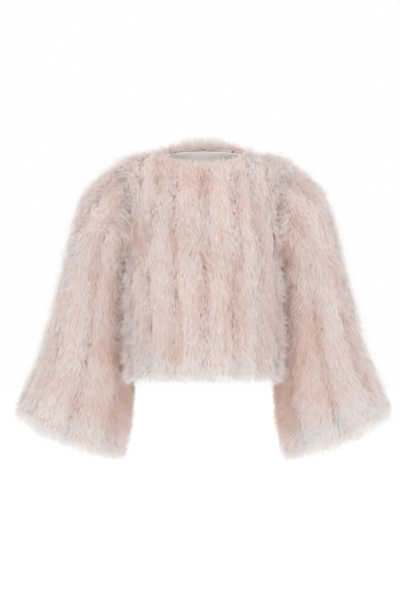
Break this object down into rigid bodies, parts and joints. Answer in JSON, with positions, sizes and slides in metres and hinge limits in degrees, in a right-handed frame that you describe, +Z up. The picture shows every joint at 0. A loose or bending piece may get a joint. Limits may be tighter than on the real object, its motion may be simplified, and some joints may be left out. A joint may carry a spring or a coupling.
{
  "type": "cropped feather jacket",
  "caption": "Cropped collarless jacket of marabou feather strips on a cloth backing, with a round neck, an edge-to-edge front and wide bell sleeves, filled out as if worn.",
  "frame": {"origin": "midway between the neck ends of the two shoulder seams, where the shoulders carry the jacket", "axes": "+Z up, the front towards -Y, +X towards the wearer's left sleeve"},
  "size_m": [0.8822, 0.3187, 0.7476],
  "materials": {
    "marabou": "pale blush pink marabou feather, soft and matte",
    "backing_cloth": "smooth woven backing and lining",
    "facing_cloth": "smooth woven facing"
  },
  "bodies": {
    "root": {"back": "backing_cloth", "front_left": "backing_cloth", "front_right": "backing_cloth", "sleeve_left": "backing_cloth", "sleeve_right": "backing_cloth", "back_neck_facing": "facing_cloth", "marabou_back_1": "marabou", "marabou_back_2": "marabou", "marabou_back_3": "marabou", "marabou_back_4": "marabou", "marabou_back_5": "marabou", "marabou_back_6": "marabou", "marabou_back_7": "marabou", "marabou_back_8": "marabou", "marabou_front_left_1": "marabou", "marabou_front_left_2": "marabou", "marabou_front_left_3": "marabou", "marabou_front_left_4": "marabou", "marabou_front_right_1": "marabou", "marabou_front_right_2": "marabou", "marabou_front_right_3": "marabou", "marabou_front_right_4": "marabou", "marabou_sleeve_left_1": "marabou", "marabou_sleeve_left_2": "marabou", "marabou_sleeve_left_3": "marabou", "marabou_sleeve_left_4": "marabou", "marabou_sleeve_left_5": "marabou", "marabou_sleeve_left_6": "marabou", "marabou_sleeve_left_7": "marabou", "marabou_sleeve_left_8": "marabou", "marabou_sleeve_right_1": "marabou", "marabou_sleeve_right_2": "marabou", "marabou_sleeve_right_3": "marabou", "marabou_sleeve_right_4": "marabou", "marabou_sleeve_right_5": "marabou", "marabou_sleeve_right_6": "marabou", "marabou_sleeve_right_7": "marabou", "marabou_sleeve_right_8": "marabou"}
  },
  "joints": []
}
